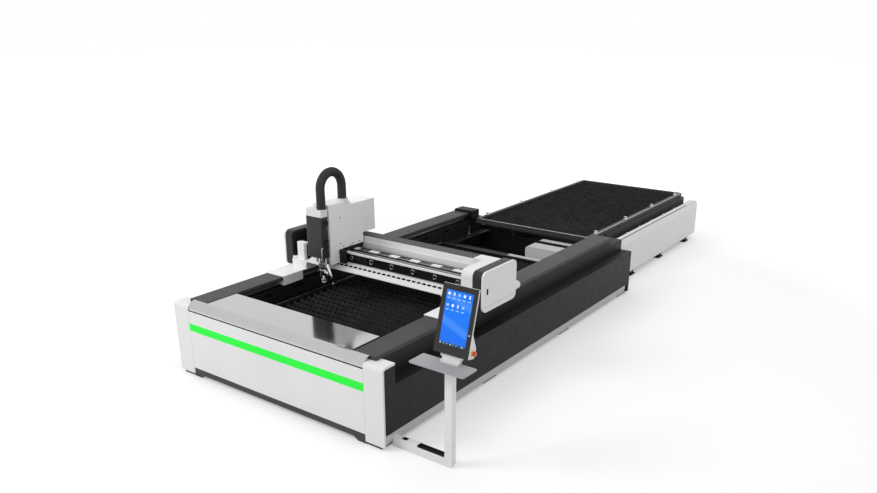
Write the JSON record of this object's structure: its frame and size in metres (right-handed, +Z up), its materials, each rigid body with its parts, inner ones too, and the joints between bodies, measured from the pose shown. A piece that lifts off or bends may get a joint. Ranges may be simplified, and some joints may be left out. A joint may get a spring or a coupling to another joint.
{
  "type": "fiber laser cutting machine",
  "caption": "Gantry laser cutter for sheet metal: long bed, toothed-slat shuttle pallets, lifting exchange table and a tilting operator console.",
  "frame": {"origin": "on the floor, at the centre of the four anchor holes in the bed's corner feet", "axes": "+X towards the console, +Y from the bed's front towards the shuttle table, +Z up"},
  "size_m": [3.455, 7.986, 1.94],
  "materials": {
    "white_paint": "satin",
    "pale_paint": "satin",
    "plate_paint": "gloss",
    "grey_paint": "satin",
    "black_paint": "satin",
    "green_paint": "gloss",
    "slat_steel": "dull",
    "steel": "ground",
    "chrome": "polished",
    "copper_alloy": "machined",
    "hose_rubber": "dull",
    "screen_face": "gloss",
    "red_plastic": "gloss",
    "yellow_plastic": "gloss"
  },
  "bodies": {
    "bed": {"bed_beams": "black_paint", "bed_crossbeams": "black_paint", "bed_runners": "grey_paint", "side_panels": "black_paint", "side_skirts": "pale_paint", "rail_covers": "grey_paint", "y_rails": "steel", "front_cover": "white_paint", "front_stripe": "green_paint", "front_top_plate": "plate_paint", "kick_plate": "grey_paint", "rear_cap": "black_paint", "levelling_feet": "black_paint", "pallet_guides": "chrome", "table_sides": "white_paint", "table_gutters": "grey_paint", "table_crossbeams": "black_paint", "table_feet": "black_paint", "drive_cover": "white_paint", "lift_cylinders": "grey_paint", "console_arm": "white_paint", "console_post": "white_paint", "keyboard_tray": "pale_paint", "monitor_neck": "white_paint"},
    "gantry": {"saddles": "white_paint", "gantry_beam": "black_paint", "beam_lower_cover": "white_paint", "beam_guard": "white_paint", "x_rails": "steel", "x_rack": "steel", "chain_fascia": "white_paint", "chain_cover": "grey_paint", "end_fairings": "white_paint", "y_motors": "black_paint", "end_shells": "grey_paint", "end_plates": "white_paint"},
    "carriage": {"x_carriage": "steel", "carriage_housing": "white_paint", "z_rails": "steel", "hose_collar": "pale_paint", "hose": "hose_rubber"},
    "head": {"head_slide": "steel", "head_cover": "black_paint", "head_cap": "white_paint", "cutting_head": "chrome", "nozzle": "copper_alloy"},
    "lift": {"lift_rails": "grey_paint", "lift_ties": "grey_paint", "lift_rods": "chrome"},
    "upper_pallet": {"upper_pallet_frame": "pale_paint", "upper_pallet_slats": "slat_steel", "upper_pallet_stops": "chrome"},
    "lower_pallet": {"lower_pallet_frame": "pale_paint", "lower_pallet_slats": "slat_steel", "lower_pallet_stops": "chrome"},
    "monitor": {"monitor_housing": "white_paint", "monitor_glass": "screen_face", "estop_base": "yellow_plastic"},
    "power_key": {"power_button": "chrome"},
    "estop_key": {"estop_button": "red_plastic"}
  },
  "joints": [
    {"name": "gantry_travel", "type": "slide", "parent": "bed", "child": "gantry", "axis": [0, 1, 0], "range_m": [-0.73, 2.24]},
    {"name": "carriage_travel", "type": "slide", "parent": "gantry", "child": "carriage", "axis": [1, 0, 0], "range_m": [-0.2, 1.3]},
    {"name": "head_lift", "type": "slide", "parent": "carriage", "child": "head", "axis": [0, 0, 1], "range_m": [-0.156, 0.1], "deforming": ["hose"]},
    {"name": "table_lift", "type": "slide", "parent": "bed", "child": "lift", "axis": [0, 0, -1], "range_m": [0, 0.154]},
    {"name": "upper_pallet_travel", "type": "slide", "parent": "lift", "child": "upper_pallet", "axis": [0, -1, 0], "range_m": [0, 4.064]},
    {"name": "lower_pallet_travel", "type": "slide", "parent": "bed", "child": "lower_pallet", "axis": [0, 1, 0], "range_m": [0, 4.064]},
    {"name": "monitor_tilt", "type": "hinge", "parent": "bed", "child": "monitor", "pos_m": [1.894, -2.27083, 0.95049], "axis": [1, 0, 0], "range_deg": [-10, 10]},
    {"name": "power_push", "type": "slide", "parent": "monitor", "child": "power_key", "axis": [0, 0.9636, -0.2672], "range_m": [0, 0.001], "stiffness_N_per_m": 1000, "springref_m": -0.0005},
    {"name": "estop_push", "type": "slide", "parent": "monitor", "child": "estop_key", "axis": [-1, 0, 0], "range_m": [0, 0.005], "stiffness_N_per_m": 1000, "springref_m": -0.001}
  ]
}
